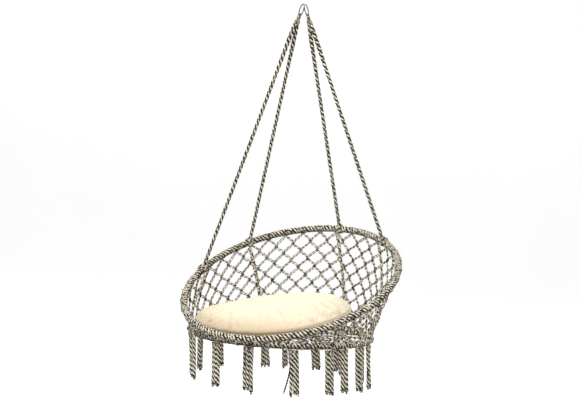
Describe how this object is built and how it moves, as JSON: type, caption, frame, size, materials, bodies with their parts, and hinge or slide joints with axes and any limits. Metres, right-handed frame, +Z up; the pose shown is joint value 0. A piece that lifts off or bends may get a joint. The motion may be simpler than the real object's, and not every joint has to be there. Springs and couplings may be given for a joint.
{
  "type": "knotted hanging chair",
  "caption": "Round hanging chair: two cord-covered steel hoops joined by a knotted diamond net, hung by ropes from steel rings, with a cushion and tassels.",
  "frame": {"origin": "the point where the hook bears inside the tops of the two steel rings", "axes": "+Z up along the hanging line, -Y towards the front of the chair, +X to its right as seen from the front"},
  "size_m": [0.8034, 0.7581, 1.3849],
  "materials": {
    "steel_ring": "polished steel wire",
    "hoop_tube": "bent round steel tube",
    "cord_sheath": "two-tone cotton cord, half hitched",
    "cord_rope": "two-tone cotton rope, twisted",
    "cord_knot": "two-tone cotton cord, knotted",
    "cord_net": "two-tone cotton cord, knotted net",
    "cord_tassel": "two-tone cotton cord ends",
    "cushion_cotton": "cream cotton, lightly creased",
    "cushion_wadding": "white polyester filling"
  },
  "bodies": {
    "hanging_rings": {"steel_ring_left": "steel_ring", "steel_ring_right": "steel_ring"},
    "chair": {"large_hoop_tube": "hoop_tube", "seat_hoop_tube": "hoop_tube", "large_hoop_sheath": "cord_sheath", "seat_hoop_sheath": "cord_sheath", "rope_head_left": "cord_rope", "rope_head_right": "cord_rope", "rope_front_left": "cord_rope", "rope_back_left": "cord_rope", "rope_back_right": "cord_rope", "rope_front_right": "cord_rope", "rope_hitch_front_left": "cord_knot", "rope_hitch_back_left": "cord_knot", "rope_hitch_back_right": "cord_knot", "rope_hitch_front_right": "cord_knot", "sinnet_front_left": "cord_knot", "sinnet_back_left": "cord_knot", "sinnet_back_right": "cord_knot", "sinnet_front_right": "cord_knot", "net_panel_1": "cord_net", "net_panel_2": "cord_net", "net_panel_3": "cord_net", "net_panel_4": "cord_net", "net_panel_5": "cord_net", "net_panel_6": "cord_net", "net_panel_7": "cord_net", "net_panel_8": "cord_net", "net_panel_9": "cord_net", "seat_weave": "cord_net"},
    "cushion": {"cushion_cover_top": "cushion_cotton", "cushion_cover_bottom": "cushion_cotton", "cushion_filling": "cushion_wadding"},
    "tassel_01": {"tassel_01": "cord_tassel"},
    "tassel_02": {"tassel_02": "cord_tassel"},
    "tassel_03": {"tassel_03": "cord_tassel"},
    "tassel_04": {"tassel_04": "cord_tassel"},
    "tassel_05": {"tassel_05": "cord_tassel"},
    "tassel_06": {"tassel_06": "cord_tassel"},
    "tassel_07": {"tassel_07": "cord_tassel"},
    "tassel_08": {"tassel_08": "cord_tassel"},
    "tassel_09": {"tassel_09": "cord_tassel"},
    "tassel_10": {"tassel_10": "cord_tassel"},
    "tassel_11": {"tassel_11": "cord_tassel"},
    "tassel_12": {"tassel_12": "cord_tassel"},
    "tassel_13": {"tassel_13": "cord_tassel"},
    "tassel_14": {"tassel_14": "cord_tassel"},
    "tassel_15": {"tassel_15": "cord_tassel"},
    "tassel_16": {"tassel_16": "cord_tassel"},
    "tassel_17": {"tassel_17": "cord_tassel"}
  },
  "joints": [
    {"name": "swing_fore_aft", "type": "hinge", "parent": "hanging_rings", "child": "chair", "pos_m": [0, 0, -0.01904], "axis": [1, 0, 0], "range_deg": [-25, 25]},
    {"name": "cushion_lift_off", "type": "slide", "parent": "chair", "child": "cushion", "axis": [0, 0, 1], "range_m": [0, 0.25]},
    {"name": "tassel_01_swing", "type": "hinge", "parent": "chair", "child": "tassel_01", "pos_m": [-0.00445, 0.3318, -1.21], "axis": [0.9994, -0.0349, 0], "range_deg": [-35, 35]},
    {"name": "tassel_02_swing", "type": "hinge", "parent": "chair", "child": "tassel_02", "pos_m": [0.11333, 0.30569, -1.21], "axis": [0.9205, -0.3907, 0], "range_deg": [-35, 35]},
    {"name": "tassel_03_swing", "type": "hinge", "parent": "chair", "child": "tassel_03", "pos_m": [0.19676, 0.25456, -1.21], "axis": [0.766, -0.6428, 0], "range_deg": [-35, 35]},
    {"name": "tassel_04_swing", "type": "hinge", "parent": "chair", "child": "tassel_04", "pos_m": [0.2909, 0.12499, -1.21], "axis": [0.3746, -0.9272, 0], "range_deg": [-35, 35]},
    {"name": "tassel_05_swing", "type": "hinge", "parent": "chair", "child": "tassel_05", "pos_m": [0.30777, -0.06782, -1.21], "axis": [-0.2079, -0.9781, 0], "range_deg": [-35, 35]},
    {"name": "tassel_06_swing", "type": "hinge", "parent": "chair", "child": "tassel_06", "pos_m": [0.27065, -0.1645, -1.21], "axis": [-0.5, -0.866, 0], "range_deg": [-35, 35]},
    {"name": "tassel_07_swing", "type": "hinge", "parent": "chair", "child": "tassel_07", "pos_m": [0.21887, -0.23223, -1.21], "axis": [-0.7046, -0.7096, 0], "range_deg": [-35, 35]},
    {"name": "tassel_08_swing", "type": "hinge", "parent": "chair", "child": "tassel_08", "pos_m": [0.16428, -0.2766, -1.21], "axis": [-0.8387, -0.5446, 0], "range_deg": [-35, 35]},
    {"name": "tassel_09_swing", "type": "hinge", "parent": "chair", "child": "tassel_09", "pos_m": [0.04148, -0.32497, -1.21], "axis": [-0.9848, -0.1736, 0], "range_deg": [-35, 35]},
    {"name": "tassel_10_swing", "type": "hinge", "parent": "chair", "child": "tassel_10", "pos_m": [-0.12103, -0.3129, -1.21], "axis": [-0.9483, 0.3173, 0], "range_deg": [-35, 35]},
    {"name": "tassel_11_swing", "type": "hinge", "parent": "chair", "child": "tassel_11", "pos_m": [-0.23748, -0.24498, -1.21], "axis": [-0.7431, 0.6691, 0], "range_deg": [-35, 35]},
    {"name": "tassel_12_swing", "type": "hinge", "parent": "chair", "child": "tassel_12", "pos_m": [-0.3308, -0.10128, -1.21], "axis": [-0.309, 0.9511, 0], "range_deg": [-35, 35]},
    {"name": "tassel_13_swing", "type": "hinge", "parent": "chair", "child": "tassel_13", "pos_m": [-0.347, 0.001, -1.21], "axis": [0, 1, 0], "range_deg": [-35, 35]},
    {"name": "tassel_14_swing", "type": "hinge", "parent": "chair", "child": "tassel_14", "pos_m": [-0.3229, 0.12499, -1.21], "axis": [0.3746, 0.9272, 0], "range_deg": [-35, 35]},
    {"name": "tassel_15_swing", "type": "hinge", "parent": "chair", "child": "tassel_15", "pos_m": [-0.2541, 0.23093, -1.21], "axis": [0.6947, 0.7193, 0], "range_deg": [-35, 35]},
    {"name": "tassel_16_swing", "type": "hinge", "parent": "chair", "child": "tassel_16", "pos_m": [-0.14533, 0.30569, -1.21], "axis": [0.9205, 0.3907, 0], "range_deg": [-35, 35]},
    {"name": "tassel_17_swing", "type": "hinge", "parent": "chair", "child": "tassel_17", "pos_m": [-0.08764, 0.32415, -1.21], "axis": [0.9763, 0.2164, 0], "range_deg": [-35, 35]}
  ]
}
